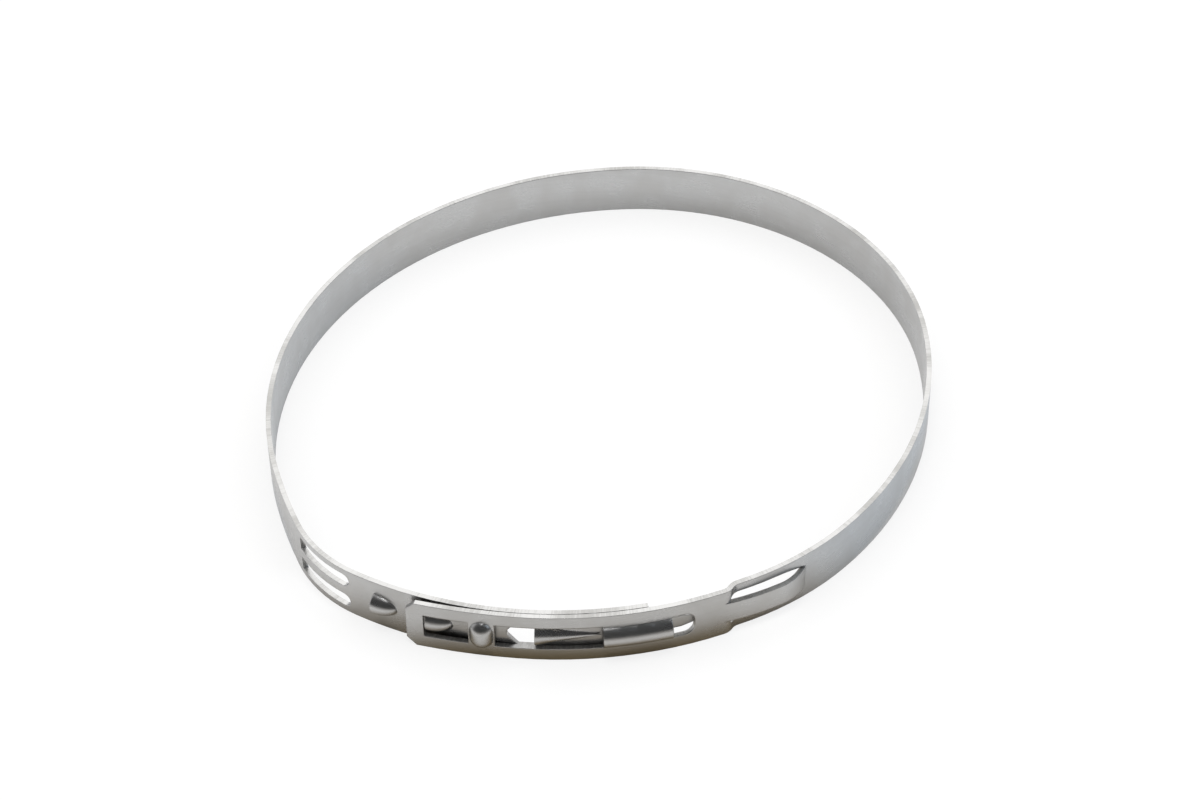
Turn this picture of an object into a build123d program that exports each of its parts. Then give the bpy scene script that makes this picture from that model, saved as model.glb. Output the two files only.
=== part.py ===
"""Low-profile band clamp: one stamped and rolled steel strip, hooked shut and not yet tightened.

The strip is followed along its inner face, the face that seats on the hose, from the free end of the
head, round the joggle, the front, the right, the back and the bend, to the tip of the tongue under the
head. A heading is the direction of that course seen from above, in degrees, with 0 along +X.
"""
from build123d import *
from math import atan, cos, degrees, radians, sin, sqrt
import os

# Strip
strip_width = 9.0
strip_thickness = 0.8

# Plan of the ring: radii of the inner face, and headings where one arc passes into the next
lap_radius = 61.0
front_radius = 49.2
front_right_radius = 61.5
left_radius = 103.0
bend_radius = 23.2
head_end_heading = 22.5
front_end_heading = 46.7
front_right_end_heading = 95.6
right_end_heading = 181.2
back_end_heading = 284.5
left_end_heading = 292.3
bend_end_heading = 328.1

# Lap of the head over the tail
lap_gap = 0.12
joggle_length = 2.7
lifted_length = 17.0
lifted_radius = 95.0

# Head, in lengths along the strip from the joggle to the free end
joggle_land = 4.8
end_window_length = 3.7
tunnel_length = 10.4
draw_window_length = 16.25
bar_width = 4.0
tooth_window_length = 6.85
free_end_land = 2.9
window_height = 4.4
end_window_round = 1.7
corner_chamfer = 1.5

# Pressed forms
hook_rise = 1.5
hook_half_width = 2.05
hook_wall = 0.45
tooth_hook_length = 4.1
draw_hook_length = 7.4
bulge_rise = 1.3
bulge_width = 3.7
bulge_overrun = 0.4
tunnel_rise = 1.4
form_side_land = 0.2

# Tail
hook_play = 0.2
hook_pitch = 9.15
draw_hook_spacing = 16.7
relief_hole_length = 4.7
relief_hole_half_height = 2.6
relief_hole_point = 2.1
relief_tip_round = 1.3
tail_beyond_draw_hook = 17.3
tongue_length = 7.3
tongue_width = 2.3
tongue_taper = 2.2
tongue_tip_width = 0.9

# Strap behind the joggle and slots in the bend
strap_reach = 12.0
strap_crest_reach = 7.0
strap_crest_rise = 1.45
strap_kick = 7.0
strap_root_land = 1.0
strap_half_width = 1.95
strap_straight = 10.5
strap_opening_half_height = 2.9
strap_opening_straight = 9.0
strap_tip_half_height = 2.1
strap_wall_lap = 0.2
strap_slit_round = 0.5
slot_height = 2.5
slot_bridge = 1.8
slot_length = 12.1
slot_end_land = 0.8
slot_round = 1.2
slot_lead_round = 0.5

# Depth by which a cutter passes clear of the sheet it cuts
clear_cut = 1.0

half_width = strip_width / 2
half_window = window_height / 2
half_tongue = tongue_width / 2
half_bridge = slot_bridge / 2
head_radius = lap_radius + strip_thickness + lap_gap
tail_face_radius = lap_radius + strip_thickness
head_face_radius = head_radius + strip_thickness
between_layers = tail_face_radius + lap_gap / 2


def outward(heading):
    """Unit vector square to a heading, pointing out of the ring."""
    return Vector(sin(radians(heading)), -cos(radians(heading)), 0)


def along(heading):
    """Unit vector of a heading."""
    return Vector(cos(radians(heading)), sin(radians(heading)), 0)


def chord(first, last):
    """Vector from end to end of an arc of radius 1 that turns from one heading to another."""
    return outward(last) - outward(first)


def heading_before_joggle(distance):
    """Heading of a point of the lap that lies a length before the joggle."""
    return head_end_heading - degrees(distance / tail_face_radius)


# Places on the head, counted back from the joggle
end_window_end = heading_before_joggle(joggle_land)
tunnel_end = heading_before_joggle(joggle_land + end_window_length)
draw_window_end = heading_before_joggle(joggle_land + end_window_length + tunnel_length)
head_to_bar = joggle_land + end_window_length + tunnel_length + draw_window_length
bar_end = heading_before_joggle(head_to_bar)
tooth_window_end = heading_before_joggle(head_to_bar + bar_width)
tooth_window_start = heading_before_joggle(head_to_bar + bar_width + tooth_window_length)
head_length = head_to_bar + bar_width + tooth_window_length + free_end_land
lift_heading = heading_before_joggle(head_length - lifted_length)
free_end_heading = lift_heading - degrees(lifted_length / lifted_radius)

# Places on the tail: the first tooth hook bears on the edge of its window
tooth_hook_heading = tooth_window_start + degrees(hook_play / tail_face_radius)
next_hook_heading = tooth_hook_heading - degrees(hook_pitch / tail_face_radius)
draw_hook_heading = tooth_hook_heading + degrees(draw_hook_spacing / tail_face_radius)
shoulder_heading = draw_hook_heading + degrees(tail_beyond_draw_hook / tail_face_radius)
tongue_tip_heading = shoulder_heading + degrees(tongue_length / tail_face_radius)

# The joggle is two equal arcs that carry the inner face in by one thickness and the gap
joggle_step = strip_thickness + lap_gap
joggle_turn = 2 * degrees(atan(joggle_step / joggle_length))
joggle_radius = joggle_length / (2 * sin(radians(joggle_turn)))
joggle_in_radius = joggle_radius - strip_thickness / 2
joggle_out_radius = joggle_radius + strip_thickness / 2
joggle_mid_heading = head_end_heading + joggle_turn

# The right and back radii are the two that close the ring on the lap
first_leg = joggle_in_radius * chord(head_end_heading, joggle_mid_heading)
first_leg += joggle_out_radius * chord(head_end_heading, joggle_mid_heading)
first_leg += front_radius * chord(head_end_heading, front_end_heading)
first_leg += front_right_radius * chord(front_end_heading, front_right_end_heading)
last_leg = left_radius * chord(back_end_heading, left_end_heading)
last_leg += bend_radius * chord(left_end_heading, bend_end_heading)
lap_leg = lap_radius * outward(bend_end_heading) - head_radius * outward(head_end_heading)
open_leg = lap_leg - first_leg - last_leg
right_leg = chord(front_right_end_heading, right_end_heading)
back_leg = chord(right_end_heading, back_end_heading)
span = right_leg.X * back_leg.Y - right_leg.Y * back_leg.X
right_radius = (open_leg.X * back_leg.Y - open_leg.Y * back_leg.X) / span
back_radius = (right_leg.X * open_leg.Y - right_leg.Y * open_leg.X) / span

# Centres of the arcs that forms are placed on; the lap's own centre is the origin until the end
lift_centre = (head_radius - lifted_radius) * outward(lift_heading)
free_end = lift_centre + lifted_radius * outward(free_end_heading)
joggle_end = head_radius * outward(head_end_heading)
joggle_end += (joggle_in_radius + joggle_out_radius) * chord(head_end_heading, joggle_mid_heading)
front_centre = joggle_end - front_radius * outward(head_end_heading)
bend_centre = (lap_radius - bend_radius) * outward(bend_end_heading)

# Arcs of the inner face as radius and turn
course = [
    (lifted_radius, lift_heading - free_end_heading),
    (head_radius, head_end_heading - lift_heading),
    (joggle_in_radius, joggle_turn),
    (joggle_out_radius, -joggle_turn),
    (front_radius, front_end_heading - head_end_heading),
    (front_right_radius, front_right_end_heading - front_end_heading),
    (right_radius, right_end_heading - front_right_end_heading),
    (back_radius, back_end_heading - right_end_heading),
    (left_radius, left_end_heading - back_end_heading),
    (bend_radius, bend_end_heading - left_end_heading),
    (lap_radius, tongue_tip_heading + 360 - bend_end_heading),
]


def section_plane(centre, heading):
    """Plane across the strip: X runs outward from a centre, Y up the width from its middle."""
    origin = centre + Vector(0, 0, half_width)
    return Plane(origin=origin, x_dir=outward(heading), z_dir=-along(heading))


def face_plane(centre, radius, heading):
    """Plane on an outer face: X runs along the strip, Y up its width and Z outward."""
    origin = centre + radius * outward(heading) + Vector(0, 0, half_width)
    return Plane(origin=origin, x_dir=along(heading), z_dir=outward(heading))


def edge_plane(centre, radius, heading):
    """Plane at mid-width on an outer face: X runs along the strip and Y outward."""
    origin = centre + radius * outward(heading) + Vector(0, 0, half_width)
    return Plane(origin=origin, x_dir=along(heading), z_dir=(0, 0, -1))


def lifted_face_radius(heading):
    """Distance of the head's lifted outer face from the lap's centre, along a heading's normal."""
    reach = lift_centre.dot(outward(heading))
    outer = lifted_radius + strip_thickness
    return reach + sqrt(outer ** 2 - lift_centre.length ** 2 + reach ** 2)


def band_cutter(centre, radii, headings, heights, rounds=(0, 0)):
    """Curved block through one layer, with its radial edges rounded at the first and the last heading."""
    with BuildPart() as cutter:
        with BuildSketch(section_plane(centre, headings[0])):
            with Locations((sum(radii) / 2, sum(heights) / 2)):
                Rectangle(radii[1] - radii[0], heights[1] - heights[0])
        revolve(axis=Axis(centre, (0, 0, 1)), revolution_arc=headings[1] - headings[0])
        for heading, size in zip(headings, rounds):
            if size:
                fillet(cutter.edges().filter_by(Axis((0, 0, 0), outward(heading))), size)
    return cutter.part


def half_dome(heading, length, half_width_at_foot, rise):
    """Half spheroid that stands a rise above the tail, with its open steep face at a heading."""
    sink = half_width_at_foot - rise
    with BuildPart() as dome:
        with BuildSketch(edge_plane(Vector(0, 0, 0), tail_face_radius, heading)):
            with BuildLine():
                EllipticalCenterArc((0, -sink), length, half_width_at_foot, 0, arc_size=-90)
                Polyline((0, -half_width_at_foot - sink), (0, -sink), (length, -sink))
            make_face()
        foot = (tail_face_radius - sink) * outward(heading) + Vector(0, 0, half_width)
        revolve(axis=Axis(foot, along(heading)), revolution_arc=360)
    return dome.part


def half_cone(heading, length, half_width_at_foot, rise):
    """Half cone that stands a rise above the tail at a heading and runs down to it in a length."""
    sink = half_width_at_foot - rise
    whole_length = length * half_width_at_foot / rise
    with BuildPart() as cone:
        with BuildSketch(edge_plane(Vector(0, 0, 0), tail_face_radius, heading)):
            with BuildLine():
                Polyline((0, -half_width_at_foot - sink), (0, -sink), (whole_length, -sink), close=True)
            make_face()
        foot = (tail_face_radius - sink) * outward(heading) + Vector(0, 0, half_width)
        revolve(axis=Axis(foot, along(heading)), revolution_arc=360)
    return cone.part


def above_tail(solid, radius):
    """What of a solid lies outside a radius from the lap's axis."""
    with BuildPart() as kept:
        add(solid)
        with Locations((0, 0, half_width)):
            Cylinder(radius, 2 * strip_width, mode=Mode.SUBTRACT)
    return kept.part


# Bar between the tooth window and the draw window, bulged outward for the closing tool
bar_heading = (tooth_window_end + bar_end) / 2
bulge_radius = ((bulge_width / 2) ** 2 + bulge_rise ** 2) / (2 * bulge_rise)
bulge_centre_radius = lifted_face_radius(bar_heading) + bulge_rise - bulge_radius
bulge_straight = window_height + 2 * bulge_overrun - bulge_width


def bulge(shell):
    """Upright capsule at the bar; shell is taken off its radius."""
    with BuildPart() as capsule:
        middle = bulge_centre_radius * outward(bar_heading) + Vector(0, 0, half_width)
        with Locations(middle):
            Cylinder(bulge_radius - shell, bulge_straight)
        for end in (-1, 1):
            with Locations(middle + Vector(0, 0, end * bulge_straight / 2)):
                Sphere(bulge_radius - shell)
    return capsule.part


tunnel_half_width = half_window - form_side_land
tunnel_arch_radius = (tunnel_half_width ** 2 + tunnel_rise ** 2) / (2 * tunnel_rise)
tunnel_arch_centre = head_face_radius + tunnel_rise - tunnel_arch_radius


def tunnel(shell, floor_radius):
    """Arch swept round the lap between the draw and end windows, cut off below a radius."""
    arch_top = head_face_radius + tunnel_rise
    with BuildPart() as arch:
        with BuildSketch(section_plane(Vector(0, 0, 0), draw_window_end)):
            with Locations((tunnel_arch_centre, 0)):
                Circle(tunnel_arch_radius - shell)
            with Locations(((floor_radius + arch_top) / 2, 0)):
                Rectangle(arch_top - floor_radius, strip_width, mode=Mode.INTERSECT)
        revolve(axis=Axis.Z, revolution_arc=tunnel_end - draw_window_end)
    return arch.part


# Hole beside the draw hook: pointed away from the hook, straight across at the hook's open face
with BuildPart() as relief_hole:
    with BuildSketch(face_plane(Vector(0, 0, 0), tail_face_radius, draw_hook_heading)) as relief:
        with BuildLine():
            Polyline(
                (0, -relief_hole_half_height),
                (0, relief_hole_half_height),
                (relief_hole_point - relief_hole_length, relief_hole_half_height),
                (-relief_hole_length, 0),
                (relief_hole_point - relief_hole_length, -relief_hole_half_height),
                close=True,
            )
        make_face()
        tip = relief.vertices().sort_by(Axis((0, 0, 0), along(draw_hook_heading)))[0]
        fillet(tip, relief_tip_round)
    extrude(amount=strip_thickness + clear_cut, both=True)
    with Locations((0, 0, half_width)):
        Cylinder(between_layers, 2 * strip_width, mode=Mode.INTERSECT)

# End of the tail, cut back to a narrow tapered tongue
with BuildPart() as shoulders:
    with BuildSketch(face_plane(Vector(0, 0, 0), tail_face_radius, shoulder_heading)):
        Rectangle(tongue_length + clear_cut, 2 * strip_width, align=(Align.MIN, Align.CENTER))
        with BuildLine():
            Polyline(
                (-clear_cut, -half_tongue),
                (tongue_length - tongue_taper, -half_tongue),
                (tongue_length + clear_cut, -tongue_tip_width / 2),
                (tongue_length + clear_cut, tongue_tip_width / 2),
                (tongue_length - tongue_taper, half_tongue),
                (-clear_cut, half_tongue),
                close=True,
            )
        make_face(mode=Mode.SUBTRACT)
    extrude(amount=strip_thickness + clear_cut, both=True)
    with Locations((0, 0, half_width)):
        Cylinder(between_layers, 2 * strip_width, mode=Mode.INTERSECT)

# Strap behind the joggle: raised a thickness clear of the band, so that the tongue can slide under it
strap_crest_heading = head_end_heading + degrees(strap_crest_reach / (front_radius + strip_thickness))
strap_end_heading = head_end_heading + degrees(strap_reach / (front_radius + strip_thickness))
strap_root = head_radius * outward(head_end_heading)
strap_crest = front_centre + (front_radius + strap_crest_rise) * outward(strap_crest_heading)
strap_end = front_centre + front_radius * outward(strap_end_heading)
strap_length = (strap_end - strap_root).length
strap_plane = Plane(
    origin=strap_root + Vector(0, 0, half_width),
    x_dir=strap_end - strap_root,
    z_dir=(strap_end - strap_root).cross(Vector(0, 0, 1)),
)


def blade(root, half_height, straight_end, overrun):
    """Outline along the strap: parallel from its root to a place on the way, then closing in to the tip."""
    with BuildSketch(strap_plane) as outline:
        with BuildLine():
            Polyline((root, 0), (root, half_height), (straight_end, half_height))
            TangentArc((straight_end, half_height), (strap_length, strap_tip_half_height), tangent=(1, 0))
            Polyline(
                (strap_length, strap_tip_half_height),
                (strap_length + overrun, strap_tip_half_height),
                (strap_length + overrun, 0),
                (root, 0),
            )
        make_face()
        mirror(about=Plane.XZ)
    return outline


with BuildPart() as strap_opening:
    outline = blade(strap_root_land, strap_opening_half_height, strap_opening_straight, strap_wall_lap)
    extrude(outline.sketch, amount=strap_length / 2, both=True)
    ends = strap_opening.edges().filter_by(Axis(strap_root, strap_plane.z_dir))
    fillet(ends.group_by(Axis(strap_root, strap_plane.x_dir))[0], strap_slit_round)

with BuildPart() as strap:
    with BuildSketch(Plane.XY.offset(half_width - strap_opening_half_height)):
        with BuildLine():
            leaving = along(head_end_heading - strap_kick)
            rise = TangentArc(strap_root, strap_crest, tangent=leaving)
            fall = TangentArc(strap_crest, strap_end, tangent=rise % 1)
            outer = []
            for point, direction in ((strap_root, leaving), (strap_crest, rise % 1), (strap_end, fall % 1)):
                outer.append(point + strip_thickness * direction.cross(Vector(0, 0, 1)))
            TangentArc(outer[0], outer[1], tangent=leaving)
            TangentArc(outer[1], outer[2], tangent=rise % 1)
            Line(strap_root, outer[0])
            Line(strap_end, outer[2])
        make_face()
    extrude(amount=2 * strap_opening_half_height)
    outline = blade(-clear_cut, strap_half_width, strap_straight, clear_cut)
    extrude(outline.sketch, amount=strap_length / 2, both=True, mode=Mode.INTERSECT)

with BuildPart() as clamp_band:
    # The whole strip, rolled to its course
    with BuildSketch():
        with BuildLine():
            ends = []
            for face in (0, strip_thickness):
                point = free_end + face * outward(free_end_heading)
                direction = along(free_end_heading)
                ends.append(point)
                for radius, turn in course:
                    face_radius = radius + face if turn > 0 else radius - face
                    arc = JernArc(start=point, tangent=direction, radius=face_radius, arc_size=turn)
                    point = arc @ 1
                    direction = arc % 1
                ends.append(point)
            Line(ends[0], ends[2])
            Line(ends[1], ends[3])
        make_face()
    extrude(amount=strip_width)

    # Corners of the free end
    end_middle = free_end + strip_thickness / 2 * outward(free_end_heading) + Vector(0, 0, half_width)
    end_face = clamp_band.faces().sort_by_distance(end_middle)[0]
    chamfer(end_face.edges().filter_by(Axis.Z, reverse=True), corner_chamfer)

    # Windows of the head
    head_cut = (between_layers, head_face_radius + strip_thickness + clear_cut)
    window = (-half_window, half_window)
    ring_centre = Vector(0, 0, 0)
    windows = (
        (tooth_window_start, tooth_window_end, 0),
        (bar_end, draw_window_end, 0),
        (tunnel_end, end_window_end, end_window_round),
    )
    for start, end, end_round in windows:
        add(band_cutter(ring_centre, head_cut, (start, end), window, (0, end_round)), mode=Mode.SUBTRACT)

    # Slots in the bend, either side of a narrow bridge
    slot_end_heading = bend_end_heading - degrees(slot_end_land / (bend_radius + strip_thickness))
    slot_start_heading = slot_end_heading - degrees(slot_length / (bend_radius + strip_thickness))
    slot_radii = (bend_radius - clear_cut, bend_radius + strip_thickness + clear_cut)
    for side in (-1, 1):
        slot = sorted((side * half_bridge, side * (half_bridge + slot_height)))
        add(
            band_cutter(
                bend_centre,
                slot_radii,
                (slot_start_heading, slot_end_heading),
                slot,
                (slot_lead_round, slot_round),
            ),
            mode=Mode.SUBTRACT,
        )

    # Opening behind the joggle, and the strap that bridges it
    add(strap_opening.part, mode=Mode.SUBTRACT)
    add(strap.part)

    # End of the tail and the hole beside the draw hook
    add(shoulders.part, mode=Mode.SUBTRACT)
    add(relief_hole.part, mode=Mode.SUBTRACT)

    # Hooks drawn out of the tail
    hollow_half_width = hook_half_width - hook_wall
    hollow_rise = hook_rise - strip_thickness
    draw_hollow_length = draw_hook_length * hollow_rise / hook_rise
    hooks = (
        (half_dome, next_hook_heading, tooth_hook_length, tooth_hook_length - hook_wall),
        (half_dome, tooth_hook_heading, tooth_hook_length, tooth_hook_length - hook_wall),
        (half_cone, draw_hook_heading, draw_hook_length, draw_hollow_length),
    )
    for form, heading, length, hollow_length in hooks:
        drawn = form(heading, length, hook_half_width, hook_rise)
        add(above_tail(drawn, tail_face_radius - strip_thickness / 2))
        add(form(heading, hollow_length, hollow_half_width, hollow_rise), mode=Mode.SUBTRACT)

    # Bulged bar and tunnel drawn out of the head
    add(above_tail(bulge(0), lifted_face_radius(bar_heading) - strip_thickness / 2))
    add(above_tail(bulge(strip_thickness), between_layers), mode=Mode.SUBTRACT)
    add(tunnel(0, head_face_radius - strip_thickness / 2))
    add(tunnel(strip_thickness, between_layers), mode=Mode.SUBTRACT)

# The origin is the middle of the ring on the surface it lies on
middle = clamp_band.part.bounding_box().center()
clamp_band.part = clamp_band.part.moved(Location((-middle.X, -middle.Y, 0)))
clamp_band.part.label = "clamp_band"

os.makedirs("parts", exist_ok=True)
export_step(clamp_band.part, "parts/clamp_band.step")
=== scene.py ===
"""Dresses the band clamp: satin stainless strip with sheared edges, on a white table in studio light.

Everything is in metres, in the frame of the construction: the ring lies on its edge on z = 0, its middle is
the origin, and the hooks face the front, -Y.
"""

import logging
import math
from dataclasses import dataclass
from enum import Enum

import bmesh
import bpy
from mathutils import Matrix, Vector


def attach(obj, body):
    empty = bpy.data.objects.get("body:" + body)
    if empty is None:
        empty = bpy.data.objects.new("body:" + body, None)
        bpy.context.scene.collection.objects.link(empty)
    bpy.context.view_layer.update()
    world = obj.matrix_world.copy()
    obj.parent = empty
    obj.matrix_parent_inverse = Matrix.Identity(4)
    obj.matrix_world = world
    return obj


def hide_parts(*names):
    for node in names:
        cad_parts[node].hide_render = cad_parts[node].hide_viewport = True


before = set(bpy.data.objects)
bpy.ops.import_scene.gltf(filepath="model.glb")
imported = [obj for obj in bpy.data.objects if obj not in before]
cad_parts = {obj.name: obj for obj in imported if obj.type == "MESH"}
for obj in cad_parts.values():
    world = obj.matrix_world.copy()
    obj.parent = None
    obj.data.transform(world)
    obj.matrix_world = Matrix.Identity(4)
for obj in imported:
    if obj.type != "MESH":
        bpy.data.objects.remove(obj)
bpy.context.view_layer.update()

log = logging.getLogger("band_clamp")

MM = 0.001
WHITE = (1, 1, 1, 1)
RIGHTWARD = (1, 0, 0)
LEFTWARD = (-1, 0, 0)
UPWARD = (0, 0, 1)
LEVEL = (1, 1, 0)


class Socket(Enum):
    """Kinds of socket on the interface of a node group."""

    GEOMETRY = "NodeSocketGeometry"
    NUMBER = "NodeSocketFloat"
    FINISH = "NodeSocketMaterial"


@dataclass
class NodeSheet:
    """A node tree being drawn up: adds nodes and joins them.

    Attributes:
        tree: The node tree that is filled.
    """

    tree: bpy.types.NodeTree

    def node(self, kind: str, **settings: object) -> bpy.types.Node:
        """Adds a node.

        Args:
            kind: The node's type name.
            **settings: Properties of the node, by name.

        Returns:
            The new node.
        """
        made = self.tree.nodes.new(kind)
        for name, value in settings.items():
            setattr(made, name, value)
        return made

    def join(self, source: bpy.types.NodeSocket, target: bpy.types.NodeSocket) -> None:
        """Links an output to an input."""
        self.tree.links.new(source, target)

    def feed(self, target: bpy.types.NodeSocket, value: object) -> None:
        """Links a socket to an input, or writes a plain value on it."""
        if isinstance(value, bpy.types.NodeSocket):
            self.join(value, target)
        else:
            target.default_value = value

    def math(self, operation: str, *values: object) -> bpy.types.NodeSocket:
        """Adds a Math node.

        Args:
            operation: The node's operation.
            *values: A number or an output for each input.

        Returns:
            The result's output.
        """
        made = self.node("ShaderNodeMath", operation=operation)
        for target, value in zip(made.inputs, values):
            self.feed(target, value)
        return made.outputs[0]

    def vector(self, operation: str, *values: object) -> bpy.types.NodeSocket:
        """Adds a Vector Math node.

        Args:
            operation: The node's operation.
            *values: A vector or an output for each input.

        Returns:
            The output of the vector, or of the number for a dot product or a length.
        """
        made = self.node("ShaderNodeVectorMath", operation=operation)
        for target, value in zip(made.inputs, values):
            self.feed(target, value)
        return made.outputs["Value" if operation in ("DOT_PRODUCT", "LENGTH") else "Vector"]

    def band(self, value: object, span: tuple, results: tuple = (0.0, 1.0)) -> bpy.types.NodeSocket:
        """Maps a number smoothly from one range to another.

        Args:
            value: The number's output.
            span: Where the first result holds, and where the second does.
            results: The two results.

        Returns:
            The output of the mapped number.
        """
        made = self.node("ShaderNodeMapRange", interpolation_type="SMOOTHSTEP")
        names = ("Value", "From Min", "From Max", "To Min", "To Max")
        for name, number in zip(names, (value, *span, *results)):
            self.feed(made.inputs[name], number)
        return made.outputs["Result"]

    def total(self, *terms: tuple) -> bpy.types.NodeSocket:
        """Adds up outputs, each with its weight.

        Args:
            *terms: Pairs of an output and its weight.

        Returns:
            The output of the sum.
        """
        parts = [self.math("MULTIPLY", value, weight) for value, weight in terms]
        whole = parts[0]
        for part in parts[1:]:
            whole = self.math("ADD", whole, part)
        return whole

    def swing(self, value: bpy.types.NodeSocket, width: float) -> bpy.types.NodeSocket:
        """Turns a noise, 0.5 in the mean, into a swing of a given width about 0."""
        return self.math("MULTIPLY", self.math("SUBTRACT", value, 0.5), width)

    def scaled(self, value: bpy.types.NodeSocket, factor: object) -> bpy.types.NodeSocket:
        """Multiplies a vector or a colour by a number.

        Args:
            value: The output of the vector or colour.
            factor: A number or an output.

        Returns:
            The output of the product.
        """
        made = self.node("ShaderNodeVectorMath", operation="SCALE")
        self.join(value, made.inputs[0])
        self.feed(made.inputs["Scale"], factor)
        return made.outputs[0]

    def split(self, value: bpy.types.NodeSocket) -> bpy.types.NodeOutputs:
        """Splits a vector.

        Args:
            value: The output of the vector.

        Returns:
            The outputs of its three parts.
        """
        made = self.node("ShaderNodeSeparateXYZ")
        self.join(value, made.inputs[0])
        return made.outputs

    def place(self) -> bpy.types.NodeSocket:
        """Adds the object's own coordinates, in metres."""
        return self.node("ShaderNodeTexCoord").outputs["Object"]

    def noise(
        self, place: bpy.types.NodeSocket, scale: float, detail: float, roughness: float
    ) -> bpy.types.NodeSocket:
        """Adds a noise texture.

        Args:
            place: The output of the coordinates.
            scale: Cells to a metre, or to the coordinates' unit.
            detail: Octaves of finer noise.
            roughness: Strength of the finer noise.

        Returns:
            The output of the noise, about 0.5 in the mean.
        """
        made = self.node("ShaderNodeTexNoise")
        self.join(place, made.inputs["Vector"])
        for name, number in (("Scale", scale), ("Detail", detail), ("Roughness", roughness)):
            made.inputs[name].default_value = number
        return made.outputs["Fac"]

    def bump(self, height: object, depth: float, normal: object = None) -> bpy.types.NodeSocket:
        """Adds relief that is in the shading only.

        Args:
            height: The output of the relief, in shares of its depth.
            depth: What a height of 1 stands for, in metres.
            normal: The output of the normal that it starts from, or None for the surface's own.

        Returns:
            The output of the new normal.
        """
        made = self.node("ShaderNodeBump")
        made.inputs["Strength"].default_value = 1.0
        made.inputs["Distance"].default_value = depth
        self.join(height, made.inputs["Height"])
        if normal is not None:
            self.join(normal, made.inputs["Normal"])
        return made.outputs[0]

    def blend_colours(self, share: object, first: object, second: object) -> bpy.types.NodeSocket:
        """Mixes two colours.

        Args:
            share: How much of the second colour, from 0 to 1.
            first: A colour or an output.
            second: A colour or an output.

        Returns:
            The output of the mixed colour.
        """
        made = self.node("ShaderNodeMix", data_type="RGBA")
        for kept, value in zip(("Factor_Float", "A_Color", "B_Color"), (share, first, second)):
            target = next(socket for socket in made.inputs if socket.identifier == kept)
            self.feed(target, value)
        return next(socket for socket in made.outputs if socket.identifier == "Result_Color")


def fresh_material(name: str) -> tuple[bpy.types.Material, NodeSheet, bpy.types.Node]:
    """Makes a material with an empty tree and a Principled shader joined to its output.

    Args:
        name: The material's name.

    Returns:
        The material, its node sheet and the shader node.
    """
    material = bpy.data.materials.new(name)
    material.use_nodes = True
    material.node_tree.nodes.clear()
    sheet = NodeSheet(material.node_tree)
    shader = sheet.node("ShaderNodeBsdfPrincipled")
    output = sheet.node("ShaderNodeOutputMaterial")
    sheet.join(shader.outputs[0], output.inputs["Surface"])
    return material, sheet, shader


@dataclass(frozen=True)
class Grain:
    """Noise that runs along the strip, round the ring.

    Attributes:
        along: Cells to a metre along the strip.
        across: Cells to a metre up the strip's width.
        through: Cells to a metre through its thickness.
        detail: Octaves of finer noise.
        finer: Strength of the finer noise.
        radius: Radius at which a step round the ring counts as its true length.
    """

    along: float
    across: float
    through: float
    detail: float
    finer: float
    radius: float = 55 * MM

    def output(self, sheet: NodeSheet) -> bpy.types.NodeSocket:
        """Adds the noise.

        Args:
            sheet: The tree to add to.

        Returns:
            The output of the noise.
        """
        place = sheet.place()
        flat = sheet.vector("MULTIPLY", place, LEVEL)
        around = sheet.split(sheet.scaled(sheet.vector("NORMALIZE", flat), self.radius * self.along))
        height = sheet.math("MULTIPLY", sheet.split(place)[2], self.across)
        depth = sheet.math("MULTIPLY", sheet.vector("LENGTH", flat), self.through)
        whole = sheet.node("ShaderNodeCombineXYZ")
        sheet.join(around[0], whole.inputs[0])
        sheet.join(around[1], whole.inputs[1])
        sheet.join(sheet.math("ADD", height, depth), whole.inputs[2])
        return sheet.noise(whole.outputs[0], 1.0, self.detail, self.finer)


@dataclass(frozen=True)
class Cloud:
    """Noise that is the same in every direction.

    Attributes:
        cells: Cells to a metre.
        detail: Octaves of finer noise.
        finer: Strength of the finer noise.
    """

    cells: float
    detail: float
    finer: float

    def output(self, sheet: NodeSheet) -> bpy.types.NodeSocket:
        """Adds the noise to a tree and gives its output."""
        return sheet.noise(sheet.place(), self.cells, self.detail, self.finer)


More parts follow.
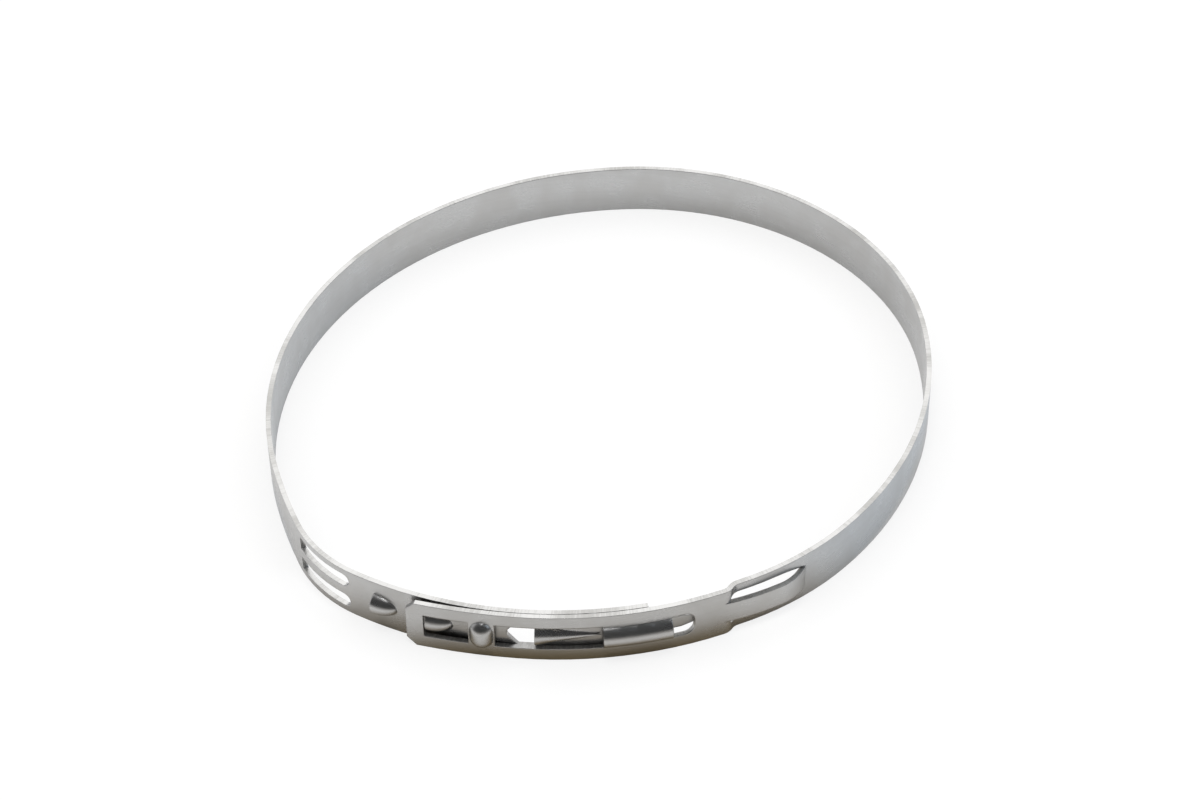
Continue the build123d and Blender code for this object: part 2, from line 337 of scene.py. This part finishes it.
@dataclass(frozen=True)
class RolledFinish:
    """Faces of the strip as the rolling mill leaves them: satin, with a faint grain along the strip.

    Attributes:
        colour: Reflected colour where the face is clean.
        stained: Reflected colour in the faintly warm patches.
        roughness: Mean roughness.
        smoothest: Lowest roughness.
        anisotropy: How far the grain draws a reflection out.
        fine: The fine grain.
        coarse: The coarse streaks.
        clouds: The patches.
        specks: The specks.
        stain_span: Values of the patches at which a stain starts and is full.
        streak_span: Values of the streaks at which they are darkest and brightest.
        streak_levels: Brightness of the darkest and of the brightest streaks.
        grain_swing: Change of roughness by the fine grain.
        cloud_swing: Change of roughness by the patches.
        relief: Shares of the fine grain, the streaks and the specks in the relief.
        grain_depth: Height of the relief.
        blend_radius: Radius at the feet of the pressed forms.
        blend_samples: Samples for that radius.
    """

    colour: tuple = (0.505, 0.506, 0.507, 1)
    stained: tuple = (0.48, 0.478, 0.474, 1)
    roughness: float = 0.29
    smoothest: float = 0.12
    anisotropy: float = 0.35
    fine: Grain = Grain(90, 9000, 9000, 3, 0.6)
    coarse: Grain = Grain(35, 1900, 1900, 2, 0.55)
    clouds: Cloud = Cloud(190, 3, 0.55)
    specks: Cloud = Cloud(2600, 2, 0.5)
    stain_span: tuple = (0.38, 0.68)
    streak_span: tuple = (0.3, 0.7)
    streak_levels: tuple = (0.985, 1.015)
    grain_swing: float = 0.10
    cloud_swing: float = 0.14
    relief: tuple = (0.6, 0.8, 0.2)
    grain_depth: float = 0.0035 * MM
    blend_radius: float = 0.28 * MM
    blend_samples: int = 6

    def material(self) -> bpy.types.Material:
        """Makes the finish.

        Returns:
            The material.
        """
        material, sheet, shader = fresh_material("satin_rolled_steel")
        shader.inputs["Metallic"].default_value = 1.0
        shader.inputs["Anisotropic"].default_value = self.anisotropy
        fine, coarse, clouds, specks = (
            layer.output(sheet) for layer in (self.fine, self.coarse, self.clouds, self.specks)
        )
        base = sheet.blend_colours(sheet.band(clouds, self.stain_span), self.colour, self.stained)
        streak = sheet.band(coarse, self.streak_span, self.streak_levels)
        sheet.join(sheet.scaled(base, streak), shader.inputs["Base Color"])
        worn = sheet.swing(fine, self.grain_swing)
        mottled = sheet.swing(clouds, self.cloud_swing)
        uneven = sheet.math("ADD", sheet.math("ADD", worn, mottled), self.roughness)
        rough = sheet.math("MAXIMUM", uneven, self.smoothest)
        sheet.join(rough, shader.inputs["Roughness"])
        height = sheet.total(*zip((fine, coarse, specks), self.relief))
        rounded = sheet.node("ShaderNodeBevel", samples=self.blend_samples)
        rounded.inputs["Radius"].default_value = self.blend_radius
        relief = sheet.bump(height, self.grain_depth, rounded.outputs[0])
        sheet.join(relief, shader.inputs["Normal"])
        tangent = sheet.node("ShaderNodeTangent", direction_type="RADIAL", axis="Z")
        sheet.join(tangent.outputs[0], shader.inputs["Tangent"])
        return material


@dataclass(frozen=True)
class ShearedFinish:
    """Cut edges, with short marks through the thickness where the sheet was sheared.

    Attributes:
        colour: Reflected colour of the clean shear.
        torn: Reflected colour of the dull marks.
        roughness: Mean roughness.
        marks: The shear marks.
        chips: The small chips.
        waves: The slow change along the cut.
        wear: Shares of the marks and the waves in the dullness.
        dull_span: Values of the dullness at which an edge starts to be dull and is fully dull.
        wave_swing: Change of roughness by the waves.
        relief: Shares of the marks and the chips in the relief.
        mark_depth: Height of the relief.
        name: The material's name.
    """

    colour: tuple = (0.62, 0.616, 0.605, 1)
    torn: tuple = (0.47, 0.465, 0.45, 1)
    roughness: float = 0.38
    marks: Grain = Grain(3800, 500, 350, 3, 0.6)
    chips: Cloud = Cloud(1500, 3, 0.6)
    waves: Grain = Grain(160, 60, 60, 2, 0.5)
    wear: tuple = (0.42, 0.58)
    dull_span: tuple = (0.42, 0.62)
    wave_swing: float = 0.3
    relief: tuple = (0.7, 0.5)
    mark_depth: float = 0.010 * MM
    name: str = "sheared_steel_rim"

    def material(self) -> bpy.types.Material:
        """Makes the finish.

        Returns:
            The material.
        """
        material, sheet, shader = fresh_material(self.name)
        shader.inputs["Metallic"].default_value = 1.0
        marks, chips, waves = (layer.output(sheet) for layer in (self.marks, self.chips, self.waves))
        dull = sheet.band(sheet.total(*zip((marks, waves), self.wear)), self.dull_span)
        sheet.join(sheet.blend_colours(dull, self.colour, self.torn), shader.inputs["Base Color"])
        rough = sheet.math("ADD", sheet.swing(waves, self.wave_swing), self.roughness)
        sheet.join(rough, shader.inputs["Roughness"])
        height = sheet.total(*zip((marks, chips), self.relief))
        sheet.join(sheet.bump(height, self.mark_depth), shader.inputs["Normal"])
        return material


@dataclass(frozen=True)
class FaceSorter:
    """Geometry nodes that give each face of the strip its finish by the way it faces.

    A rolled face looks outward or inward from the ring, and a drawn form leans part of the way up, down
    or along. A cut face looks straight up, down or along the strip: on the rims and in the bend slots it
    is bright, and in the windows of the head it is cut by the punch: duller, and darker with painted
    shade that stands for the shade in the window recesses.

    Attributes:
        rim_height: Height of the upper rim.
        rim_depth: Distance from a rim within which a cut face belongs to it.
        head_start: Place along X from which the window edges get the duller finish with painted shade.
        upright_limit: Share of a face's normal along Z from which it counts as cut.
        along_limit: Share of a face's normal along the strip from which it counts as cut.
    """

    rim_height: float = 9.0 * MM
    rim_depth: float = 0.2 * MM
    head_start: float = -37.0 * MM
    upright_limit: float = 0.985
    along_limit: float = 0.95

    def tree(self) -> bpy.types.NodeTree:
        """Draws up the node group.

        Returns:
            The node group, with an input for each limit and each finish.
        """
        tree = bpy.data.node_groups.new("strip_face_sorter", "GeometryNodeTree")
        sheet = NodeSheet(tree)
        for kind, names in (
            (Socket.GEOMETRY, ("Geometry",)),
            (Socket.NUMBER, ("Rim height", "Rim depth", "Head start", "Upright limit", "Along limit")),
            (Socket.FINISH, ("Rolled finish", "Rim finish", "Punched and shaded finish")),
        ):
            for name in names:
                tree.interface.new_socket(name=name, in_out="INPUT", socket_type=kind.value)
        tree.interface.new_socket(name="Geometry", in_out="OUTPUT", socket_type=Socket.GEOMETRY.value)
        entry = sheet.node("NodeGroupInput")
        leave = sheet.node("NodeGroupOutput")
        normal = sheet.node("GeometryNodeInputNormal").outputs["Normal"]
        place = sheet.node("GeometryNodeInputPosition").outputs[0]
        around = sheet.vector("NORMALIZE", sheet.vector("CROSS_PRODUCT", place, UPWARD))
        upright = sheet.math("ABSOLUTE", sheet.vector("DOT_PRODUCT", normal, UPWARD))
        lengthways = sheet.math("ABSOLUTE", sheet.vector("DOT_PRODUCT", normal, around))
        cut = sheet.math(
            "MAXIMUM",
            sheet.math("GREATER_THAN", upright, entry.outputs["Upright limit"]),
            sheet.math("GREATER_THAN", lengthways, entry.outputs["Along limit"]),
        )
        along_x, _, up = sheet.split(place)
        half = sheet.math("MULTIPLY", entry.outputs["Rim height"], 0.5)
        from_middle = sheet.math("ABSOLUTE", sheet.math("SUBTRACT", up, half))
        rim_line = sheet.math("SUBTRACT", half, entry.outputs["Rim depth"])
        inside = sheet.math("LESS_THAN", from_middle, rim_line)
        headwards = sheet.math("GREATER_THAN", along_x, entry.outputs["Head start"])
        # The window edges in the head take the darker finish: painted shade for the recesses, on a duller
        # cut.
        punched_and_shaded = sheet.math("MULTIPLY", cut, sheet.math("MULTIPLY", inside, headwards))
        geometry = sheet.node("GeometryNodeRealizeInstances")
        sheet.join(entry.outputs["Geometry"], geometry.inputs[0])
        for finish, chosen in (
            ("Rolled finish", None),
            ("Rim finish", cut),
            ("Punched and shaded finish", punched_and_shaded),
        ):
            coat = sheet.node("GeometryNodeSetMaterial")
            sheet.join(geometry.outputs[0], coat.inputs["Geometry"])
            sheet.join(entry.outputs[finish], coat.inputs["Material"])
            if chosen is not None:
                sheet.join(chosen, coat.inputs["Selection"])
            geometry = coat
        sheet.join(geometry.outputs[0], leave.inputs["Geometry"])
        return tree

    def apply(self, piece: bpy.types.Object, finishes: dict) -> None:
        """Adds the node group to a piece and sets its inputs.

        Args:
            piece: The piece to sort.
            finishes: The material for each of the group's finish inputs, by name.
        """
        tree = self.tree()
        values = {
            "Rim height": self.rim_height,
            "Rim depth": self.rim_depth,
            "Head start": self.head_start,
            "Upright limit": self.upright_limit,
            "Along limit": self.along_limit,
            **finishes,
        }
        modifier = piece.modifiers.new("face_sorter", "NODES")
        modifier.node_group = tree
        for item in tree.interface.items_tree:
            if item.in_out == "INPUT" and item.name in values:
                modifier[item.identifier] = values[item.name]


@dataclass(frozen=True)
class ClampBand:
    """The clamp itself: one strip, with its edges broken as deburring leaves them.

    Attributes:
        node: Name of the node that the piece replaces.
        merge_distance: Distance within which corners are one.
        flat_angle: Angle within which neighbouring faces are one.
        edge_angle: Angle from which an edge is broken.
        foot_angle: Angle from which the foot of a pressed form is shaded sharp.
        gentle_turn: Largest angle between neighbouring faces of the plain strip.
        upright: Largest share of such a face's normal along Z.
        leaning: Share of a normal along Z from which a face belongs to a pressed form.
        smallest_run: Smallest area of a patch of the plain strip.
        edge_break: Width of the broken edge.
        sorter: What gives each face its finish.
        rolled: Finish of the strip's faces.
        rim: Finish of its slit rims.
        punched_and_shaded: Finish of the edges of the windows in its head: a duller cut, darker with
            painted shade.
    """

    node: str = "clamp_band"
    merge_distance: float = 0.0005 * MM
    flat_angle: float = math.radians(0.3)
    edge_angle: float = math.radians(32)
    foot_angle: float = math.radians(3)
    gentle_turn: float = math.radians(8)
    upright: float = 0.02
    leaning: float = 0.04
    smallest_run: float = 20 * MM * MM
    edge_break: float = 0.09 * MM
    sorter: FaceSorter = FaceSorter()
    rolled: RolledFinish = RolledFinish()
    rim: ShearedFinish = ShearedFinish()
    # Darker than the rims: partly a duller cut by the punch, partly painted shade for the window recesses.
    punched_and_shaded: ShearedFinish = ShearedFinish(
        colour=(0.46, 0.455, 0.445, 1),
        torn=(0.32, 0.315, 0.305, 1),
        roughness=0.45,
        name="punched_shaded_steel_edge",
    )

    def merged_copy(self) -> bpy.types.Mesh:
        """Copies the node's mesh with its corners joined and its flat faces whole.

        Returns:
            The new mesh.
        """
        work = bmesh.new()
        work.from_mesh(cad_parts[self.node].data)
        bmesh.ops.remove_doubles(work, verts=work.verts, dist=self.merge_distance)
        bmesh.ops.dissolve_degenerate(work, edges=work.edges, dist=self.merge_distance)
        bmesh.ops.dissolve_limit(work, angle_limit=self.flat_angle, verts=work.verts, edges=work.edges)
        for face in work.faces:
            face.smooth = True
        self.mark_creases(work)
        mesh = bpy.data.meshes.new("finished_band")
        work.to_mesh(mesh)
        work.free()
        return mesh

    def plain_faces(self, work: bmesh.types.BMesh) -> set:
        """Finds the plain run of the strip: upright faces in large patches that turn only gently.

        Args:
            work: The mesh being worked on.

        Returns:
            The faces of the plain run.
        """
        upright = {face for face in work.faces if abs(face.normal.z) < self.upright}
        plain = set()
        while upright:
            patch, reach = set(), [upright.pop()]
            while reach:
                face = reach.pop()
                patch.add(face)
                for edge in face.edges:
                    if edge.calc_face_angle(math.pi) < self.gentle_turn:
                        near = upright.intersection(edge.link_faces)
                        upright -= near
                        reach.extend(near)
            if sum(face.calc_area() for face in patch) > self.smallest_run:
                plain |= patch
        return plain

    def mark_creases(self, work: bmesh.types.BMesh) -> None:
        """Marks the edges that are shaded sharp: the cut edges, and the feet of the pressed forms.

        Args:
            work: The mesh being worked on.
        """
        plain = self.plain_faces(work)
        for edge in work.edges:
            turn = edge.calc_face_angle(math.pi)
            leaning = max(abs(face.normal.z) for face in edge.link_faces) > self.leaning
            foot = leaning and len(plain.intersection(edge.link_faces)) == 1
            edge.smooth = turn < (self.foot_angle if foot else self.edge_angle)

    def break_edges(self, piece: bpy.types.Object, pattern: bpy.types.Object) -> None:
        """Breaks the sharp edges of a piece, shaded as if they were round.

        Args:
            piece: The piece with the edges.
            pattern: The same piece with its sharp edges, from which each face keeps its shading.
        """
        bevel = piece.modifiers.new("edge_break", "BEVEL")
        bevel.width = self.edge_break
        bevel.segments = 1
        bevel.limit_method = "ANGLE"
        bevel.angle_limit = self.edge_angle
        bevel.use_clamp_overlap = True
        shading = piece.modifiers.new("kept_shading", "DATA_TRANSFER")
        shading.object = pattern
        shading.use_loop_data = True
        shading.data_types_loops = {"CUSTOM_NORMAL"}
        shading.loop_mapping = "POLYINTERP_NEAREST"

    def build(self) -> bpy.types.Object:
        """Builds the piece and puts it in the node's place.

        Returns:
            The piece.
        """
        pattern = bpy.data.objects.new("sharp_band", self.merged_copy())
        piece = bpy.data.objects.new("finished_band", self.merged_copy())
        for made in (pattern, piece):
            bpy.context.scene.collection.objects.link(made)
        finishes = {
            "Rolled finish": self.rolled.material(),
            "Rim finish": self.rim.material(),
            "Punched and shaded finish": self.punched_and_shaded.material(),
        }
        self.sorter.apply(piece, finishes)
        self.break_edges(piece, pattern)
        bpy.context.view_layer.update()
        evaluated = piece.evaluated_get(bpy.context.evaluated_depsgraph_get())
        plain = bpy.data.meshes.new_from_object(evaluated)
        piece.modifiers.clear()
        piece.data = plain
        bpy.data.objects.remove(pattern)
        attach(piece, "root")
        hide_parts(self.node)
        return piece


@dataclass(frozen=True)
class Lamp:
    """A soft rectangular light.

    Attributes:
        name: The light's name.
        place: Where it hangs.
        size: Its width and height.
        power: Its power in watts.
        colour: Its colour.
        aim: The point it faces.
    """

    name: str
    place: tuple
    size: tuple
    power: float
    colour: tuple = (1, 1, 1)
    aim: tuple = (0, 0, 0)

    def build(self) -> bpy.types.Object:
        """Hangs the light.

        Returns:
            The light's object.
        """
        data = bpy.data.lights.new(self.name, "AREA")
        data.shape = "RECTANGLE"
        data.size, data.size_y = self.size
        data.energy = self.power
        data.color = self.colour
        lamp = bpy.data.objects.new(self.name, data)
        lamp.location = self.place
        lamp.rotation_mode = "QUATERNION"
        lamp.rotation_quaternion = (Vector(self.aim) - Vector(self.place)).to_track_quat("-Z", "Y")
        bpy.context.scene.collection.objects.link(lamp)
        return lamp


@dataclass(frozen=True)
class PhotoCamera:
    """The camera, from where the photograph was taken.

    Attributes:
        aim: Point on the table that the lens faces.
        distance: Distance of the lens from that point.
        elevation: Height of the line of sight over the table, in degrees.
        roll: Turn of the camera about the line of sight, in degrees.
        focal_length: Focal length in millimetres.
        sensor_width: Width of the sensor in millimetres.
        clip_range: Nearest and farthest distance that the camera sees.
    """

    aim: tuple = (-0.000283, 0.003963, 0.0)
    distance: float = 0.4852357
    elevation: float = 41.909
    roll: float = -1.017
    focal_length: float = 87.24
    sensor_width: float = 36.0
    clip_range: tuple = (0.01, 20.0)

    def build(self) -> bpy.types.Object:
        """Sets the camera up and makes it the scene's.

        Returns:
            The camera's object.
        """
        rise, turn = math.radians(self.elevation), math.radians(self.roll)
        right = Vector((1, 0, 0))
        up = Vector((0, math.sin(rise), math.cos(rise)))
        back = Vector((0, -math.cos(rise), math.sin(rise)))
        turned_right = math.cos(turn) * right + math.sin(turn) * up
        turned_up = -math.sin(turn) * right + math.cos(turn) * up
        matrix = Matrix((turned_right, turned_up, back)).transposed().to_4x4()
        matrix.translation = Vector(self.aim) + self.distance * back
        data = bpy.data.cameras.new("photo_camera")
        data.lens = self.focal_length
        data.sensor_width = self.sensor_width
        data.clip_start, data.clip_end = self.clip_range
        camera = bpy.data.objects.new("photo_camera", data)
        camera.matrix_world = matrix
        bpy.context.scene.collection.objects.link(camera)
        bpy.context.scene.camera = camera
        return camera


@dataclass(frozen=True)
class Studio:
    """White table, soft lamps and the room round them.

    Attributes:
        table_reach: Half the side of the table.
        table_colour: Colour of the table.
        table_drift: Share of that colour that is left in its slightly darker patches.
        table_roughness: Roughness of the table.
        table_sheen: Its specular level.
        table_clouds: The patches.
        cloud_span: Values of the patches at which the colour starts to change and is changed.
        room_light: Strength of the room's even light.
        room_tint: Colour of that light.
        bright_way: Direction of the bright wall of the room, behind the clamp.
        bright_span: Share of a view along that direction at which the wall starts, and is brightest.
        bright_level: Brightness of that wall as the steel reflects it.
        dark_level: Brightness of the rest of the room as the steel reflects it.
        shadow_share: How much of the shadow on the table the camera sees.
        ring_halves: Half the longest and half the shortest width of the ring, round which shade is painted.
        ring_turn: Turn of the longest width from X.
        ring_reach: Distance from the ring over which the table carries painted shade for the steel.
        front_way: Direction in which that painted shade is darkest.
        front_span: Share of a place's direction along it at which that painted shade starts, and is full.
        front_share: How much of that painted shade is left in front beyond the reach.
        painted_foot_shade: Painted shade at the foot of the ring, in front, in the table as the steel
            reflects it.
        painted_cool_tint: Painted cool tint of the table at the right of the ring, as the steel reflects
            it.
        cool_span: Share of a place's direction along X at which that painted tint starts, and is full.
        left_cool: How much of that painted tint the table takes on inside the ring, at the left.
        foot_share: How much of the painted shade in front the table has at the foot of the rest of the
            ring.
        flank_ease: How much less painted dimming the far table has inside the ring, at both sides.
        flank_span: Share of a place's direction along X at which a side starts, and is full.
        far_reach: Distances from the ring over which painted shade dims the table again.
        far_share: How much of the painted dim colour the far table takes on.
        painted_far_shade: That painted dim colour, as the steel reflects it.
        lamps: The lamps.
    """

    table_reach: float = 3.0
    table_colour: tuple = (0.94, 0.94, 0.94, 1)
    table_drift: float = 0.995
    table_roughness: float = 0.9
    table_sheen: float = 0.1
    table_clouds: Cloud = Cloud(3.0, 2, 0.5)
    cloud_span: tuple = (0.3, 0.7)
    room_light: float = 1.0
    room_tint: tuple = (1.0, 0.995, 0.985, 1)
    bright_way: tuple = (-0.25, 0.97, 0.0)
    bright_span: tuple = (-0.05, 0.50)
    bright_level: float = 0.95
    dark_level: float = 0.05
    shadow_share: float = 0.27
    ring_halves: tuple = (58.2 * MM, 52.3 * MM)
    ring_turn: float = math.radians(42)
    ring_reach: float = 6 * MM
    front_way: tuple = (-0.06, -0.998, 0.0)
    front_span: tuple = (0.56, 0.99)
    front_share: float = 0.24
    painted_foot_shade: tuple = (0.26, 0.20, 0.115, 1)
    painted_cool_tint: tuple = (0.80, 0.84, 0.885, 1)
    cool_span: tuple = (0.5, 0.85)
    left_cool: float = 0.35
    foot_share: float = 0.1
    flank_ease: float = 0.32
    flank_span: tuple = (0.55, 0.9)
    far_reach: tuple = (6 * MM, 34 * MM)
    far_share: float = 0.78
    painted_far_shade: tuple = (0.10, 0.102, 0.11, 1)
    lamps: tuple = (
        Lamp("back_lamp", (0.0, 1.15, 1.35), (2.4, 1.2), 5.5),
        Lamp("top_lamp", (-0.1, -0.15, 1.4), (0.35, 0.30), 2.5),
        Lamp("right_lamp", (1.2, -0.2, 0.8), (0.7, 0.8), 2.4, (0.78, 0.89, 1.0)),
    )

    def painted_table_reflection(
        self, sheet: NodeSheet, place: bpy.types.NodeSocket, base: bpy.types.NodeSocket
    ) -> bpy.types.NodeSocket:
        """Paints shade and tint into the table's colour, as the steel reflects it.

        Painted shade at the foot of the ring and far from it, and a painted cool tint at its sides.

        Args:
            sheet: The tree to add to.
            place: The output of the coordinates.
            base: The output of the table's own colour.

        Returns:
            The output of the colour that the steel reflects.
        """
        flat = sheet.vector("MULTIPLY", place, LEVEL)
        turned = sheet.node("ShaderNodeVectorRotate", rotation_type="Z_AXIS")
        sheet.join(flat, turned.inputs["Vector"])
        turned.inputs["Angle"].default_value = -self.ring_turn
        long_half, short_half = self.ring_halves
        shares = sheet.vector("MULTIPLY", turned.outputs[0], (1 / long_half, 1 / short_half, 0))
        ring = sheet.vector("LENGTH", shares)
        inside = sheet.math("LESS_THAN", ring, 1.0)
        outside = sheet.math("GREATER_THAN", ring, 1.0)
        away = sheet.math("MULTIPLY", sheet.math("ABSOLUTE", sheet.math("SUBTRACT", ring, 1.0)), short_half)
        way = sheet.vector("NORMALIZE", flat)
        facing, rightward, leftward = (
            sheet.vector("DOT_PRODUCT", way, side) for side in (self.front_way, RIGHTWARD, LEFTWARD)
        )
        sideways = sheet.band(sheet.math("ABSOLUTE", rightward), self.flank_span)
        flank = sheet.math("MULTIPLY", inside, sideways)
        # Painted shade at the foot of the ring, darkest in front: stands in for the shadow that the steel
        # reflects there.
        near = sheet.band(away, (0.0, self.ring_reach), (1.0, self.front_share))
        forward = sheet.band(facing, self.front_span, (self.foot_share, 1.0))
        front = sheet.math("SUBTRACT", forward, sheet.math("MULTIPLY", flank, self.foot_share))
        # Painted cool tint at the sides of the ring, standing in for cool light in the reflection.
        outer = sheet.math("MULTIPLY", outside, sheet.band(rightward, self.cool_span))
        inner = sheet.math("MULTIPLY", inside, sheet.band(leftward, self.cool_span, (0.0, self.left_cool)))
        # Painted dimming of the table far from the ring, in the reflection only.
        eased = sheet.math("SUBTRACT", 1.0, sheet.math("MULTIPLY", flank, self.flank_ease))
        far = sheet.math("MULTIPLY", sheet.band(away, self.far_reach, (0.0, self.far_share)), eased)
        cooled = sheet.blend_colours(sheet.math("ADD", outer, inner), base, self.painted_cool_tint)
        dimmed = sheet.blend_colours(far, cooled, self.painted_far_shade)
        return sheet.blend_colours(sheet.math("MULTIPLY", near, front), dimmed, self.painted_foot_shade)

    def table_material(self) -> bpy.types.Material:
        """Makes the table's white finish, with painted shade and tint in the colour that only the steel
        reflects.

        Returns:
            The material.
        """
        material, sheet, shader = fresh_material("white_table")
        shader.inputs["Roughness"].default_value = self.table_roughness
        shader.inputs["Specular IOR Level"].default_value = self.table_sheen
        drift = sheet.band(self.table_clouds.output(sheet), self.cloud_span)
        soft = tuple(self.table_drift * part for part in self.table_colour[:3]) + (1,)
        path = sheet.node("ShaderNodeLightPath")
        base = sheet.blend_colours(drift, self.table_colour, soft)
        # Glossy rays see the table with its painted shade and tint; other rays see its own colour.
        reflected = self.painted_table_reflection(sheet, sheet.place(), base)
        colour = sheet.blend_colours(path.outputs["Is Glossy Ray"], base, reflected)
        sheet.join(colour, shader.inputs["Base Color"])
        white = sheet.node("ShaderNodeEmission")
        white.inputs["Color"].default_value = WHITE
        white.inputs["Strength"].default_value = 1.0
        shown = sheet.node("ShaderNodeMixShader")
        plain = sheet.math("MULTIPLY", path.outputs["Is Camera Ray"], 1 - self.shadow_share)
        sheet.join(plain, shown.inputs[0])
        sheet.join(shader.outputs[0], shown.inputs[1])
        sheet.join(white.outputs[0], shown.inputs[2])
        sheet.join(shown.outputs[0], material.node_tree.get_output_node("ALL").inputs["Surface"])
        return material

    def table(self) -> bpy.types.Object:
        """Lays the table under the ring.

        Returns:
            The table's object.
        """
        reach = self.table_reach
        mesh = bpy.data.meshes.new("white_table")
        corners = [(-reach, -reach, 0), (reach, -reach, 0), (reach, reach, 0), (-reach, reach, 0)]
        mesh.from_pydata(corners, [], [(0, 1, 2, 3)])
        mesh.materials.append(self.table_material())
        made = bpy.data.objects.new("white_table", mesh)
        bpy.context.scene.collection.objects.link(made)
        return made

    def room(self) -> None:
        """Lights the room: white to the camera, even to the table, darker on one side to the steel."""
        world = bpy.data.worlds.new("studio_room")
        bpy.context.scene.world = world
        world.use_nodes = True
        world.node_tree.nodes.clear()
        sheet = NodeSheet(world.node_tree)
        way = sheet.vector("NORMALIZE", sheet.node("ShaderNodeTexCoord").outputs["Generated"])
        nearness = sheet.vector("DOT_PRODUCT", way, self.bright_way)
        seen = sheet.band(nearness, self.bright_span, (self.dark_level, self.bright_level))
        path = sheet.node("ShaderNodeLightPath")
        straight = sheet.math("MAXIMUM", path.outputs["Is Camera Ray"], path.outputs["Is Transmission Ray"])
        glossy = sheet.math("MULTIPLY", path.outputs["Is Glossy Ray"], seen)
        dull = sheet.math("SUBTRACT", 1.0, path.outputs["Is Glossy Ray"])
        rest = sheet.math("MULTIPLY", dull, self.room_light)
        level = sheet.math("MAXIMUM", straight, sheet.math("ADD", glossy, rest))
        light = sheet.node("ShaderNodeBackground")
        seen_white = sheet.math("MAXIMUM", straight, path.outputs["Is Glossy Ray"])
        sheet.join(sheet.blend_colours(seen_white, self.room_tint, WHITE), light.inputs["Color"])
        sheet.join(level, light.inputs["Strength"])
        output = sheet.node("ShaderNodeOutputWorld")
        sheet.join(light.outputs[0], output.inputs["Surface"])

    def build(self) -> None:
        """Builds the whole studio."""
        self.table()
        self.room()
        for lamp in self.lamps:
            lamp.build()
        bpy.context.scene.view_settings.view_transform = "Standard"


def main() -> None:
    """Builds the clamp, the studio and the camera, in that order."""
    logging.basicConfig(level=logging.INFO, format="%(name)s: %(message)s")
    band = ClampBand().build()
    log.info("%s: %d faces", band.name, len(band.data.polygons))
    Studio().build()
    camera = PhotoCamera().build()
    log.info("camera at %s", [round(value, 4) for value in camera.matrix_world.translation])


if __name__ == "__main__":
    main()
